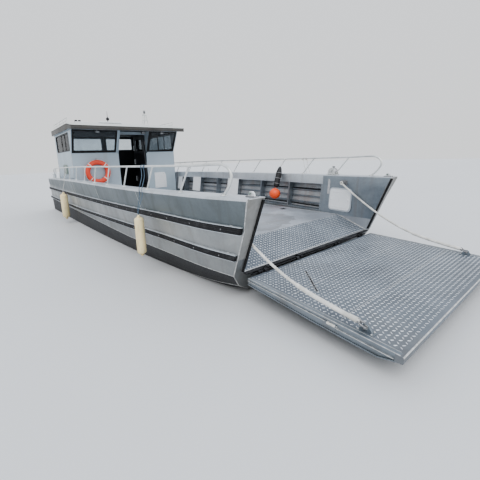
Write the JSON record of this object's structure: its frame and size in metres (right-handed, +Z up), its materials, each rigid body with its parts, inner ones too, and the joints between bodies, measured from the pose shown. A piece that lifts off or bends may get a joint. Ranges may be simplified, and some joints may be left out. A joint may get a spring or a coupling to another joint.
{
  "type": "landing workboat with bow ramp",
  "caption": "Open aluminium landing boat with a lowered bow ramp, cargo deck between high bulwarks with handrails, wheelhouse aft with a front door, and transom water jets.",
  "frame": {"origin": "middle of the overall length and width (ramp down, buckets up), on the plane of the flat bottom", "axes": "+X towards the bow ramp, +Y to port, +Z up"},
  "size_m": [12.7745, 4.2476, 3.546],
  "materials": {
    "hull_alloy": "bare marine aluminium, dull, streaked and rubbed",
    "tread_alloy": "bare aluminium tread plate, scuffed",
    "black_rubber": "matt black rubber with grey scuffs",
    "cabin_paint": "pale blue-grey paint, satin",
    "roof_paint": "off-white paint, satin",
    "door_paint": "dark satin paint",
    "tinted_glass": "tinted glass",
    "rail_tube": "bare aluminium tube, satin",
    "cream_vinyl": "cream vinyl, soft gloss",
    "orange_plastic": "orange-red plastic with pale bands",
    "white_rope": "white laid rope",
    "black_plastic": "black plastic, fine texture",
    "seat_vinyl": "dark upholstery",
    "steel": "dull steel",
    "jet_casting": "grey cast metal, painted"
  },
  "bodies": {
    "boat": {"hull": "hull_alloy", "bow_box_starboard": "hull_alloy", "bulwark_starboard": "hull_alloy", "side_deck_starboard": "hull_alloy", "strake_upper_starboard": "black_rubber", "strake_lower_starboard": "black_rubber", "handrail_starboard": "rail_tube", "bow_seal_starboard": "black_rubber", "ramp_rope_starboard": "white_rope", "bow_box_port": "hull_alloy", "bulwark_port": "hull_alloy", "side_deck_port": "hull_alloy", "strake_upper_port": "black_rubber", "strake_lower_port": "black_rubber", "handrail_port": "rail_tube", "bow_seal_port": "black_rubber", "ramp_rope_port": "white_rope", "aft_deck": "hull_alloy", "ramp_hinge_pin": "steel", "ramp_hinge_flap": "black_rubber", "cabin_front": "cabin_paint", "cabin_side_port": "cabin_paint", "cabin_side_starboard": "cabin_paint", "cabin_back": "cabin_paint", "cabin_roof": "roof_paint", "glass_front_starboard": "tinted_glass", "glass_front_port": "tinted_glass", "glass_side_starboard": "tinted_glass", "glass_side_port": "tinted_glass", "glass_back_starboard": "tinted_glass", "glass_back_port": "tinted_glass", "helm_console": "black_plastic", "helm_seat": "seat_vinyl", "crew_seat": "seat_vinyl", "roof_rail_port": "rail_tube", "roof_rail_starboard": "rail_tube", "light_mast": "rail_tube", "roof_locker": "roof_paint", "roof_hatch": "roof_paint", "flood_lights": "black_plastic", "life_ring": "orange_plastic", "marker_buoy": "orange_plastic", "fender_forward_starboard": "cream_vinyl", "fender_aft_starboard": "cream_vinyl", "fender_forward_port": "cream_vinyl", "fender_aft_port": "cream_vinyl", "jet_housing_starboard": "jet_casting", "jet_housing_port": "jet_casting"},
    "ramp_body": {"ramp": "tread_alloy"},
    "door_body": {"cabin_door": "door_paint", "glass_door": "tinted_glass"},
    "helm_wheel": {"steering_wheel": "black_plastic"},
    "nozzle_starboard": {"steering_nozzle_starboard": "jet_casting"},
    "nozzle_port": {"steering_nozzle_port": "jet_casting"},
    "bucket_starboard": {"reverse_bucket_starboard": "jet_casting"},
    "bucket_port": {"reverse_bucket_port": "jet_casting"}
  },
  "joints": [
    {"name": "ramp_hinge", "type": "hinge", "parent": "boat", "child": "ramp_body", "pos_m": [4.6284, 0, 0.581], "axis": [0, -1, 0], "range_deg": [-12, 69], "deforming": ["ramp_rope_starboard", "ramp_rope_port"]},
    {"name": "door_hinge", "type": "hinge", "parent": "boat", "child": "door_body", "pos_m": [-2.8206, 0.608, 1.816], "axis": [0, 0, 1], "range_deg": [0, 90]},
    {"name": "helm_turn", "type": "hinge", "parent": "boat", "child": "helm_wheel", "pos_m": [-3.2896, -1.008, 2.016], "axis": [-0.8192, 0, 0.5736], "range_deg": [-540, 540]},
    {"name": "steer_starboard", "type": "hinge", "parent": "boat", "child": "nozzle_starboard", "pos_m": [-6.0799, -0.62, 0.264], "axis": [0, 0, 1], "range_deg": [-25, 25]},
    {"name": "steer_port", "type": "hinge", "parent": "boat", "child": "nozzle_port", "pos_m": [-6.0799, 0.62, 0.264], "axis": [0, 0, 1], "range_deg": [-25, 25]},
    {"name": "bucket_starboard_swing", "type": "hinge", "parent": "nozzle_starboard", "child": "bucket_starboard", "pos_m": [-6.1999, -0.62, 0.264], "axis": [0, -1, 0], "range_deg": [0, 75]},
    {"name": "bucket_port_swing", "type": "hinge", "parent": "nozzle_port", "child": "bucket_port", "pos_m": [-6.1999, 0.62, 0.264], "axis": [0, -1, 0], "range_deg": [0, 75]}
  ],
  "couplings": [
    {"joint": "steer_port", "follows": "steer_starboard", "ratio": 1},
    {"joint": "helm_turn", "follows": "steer_starboard", "ratio": -21.6}
  ]
}
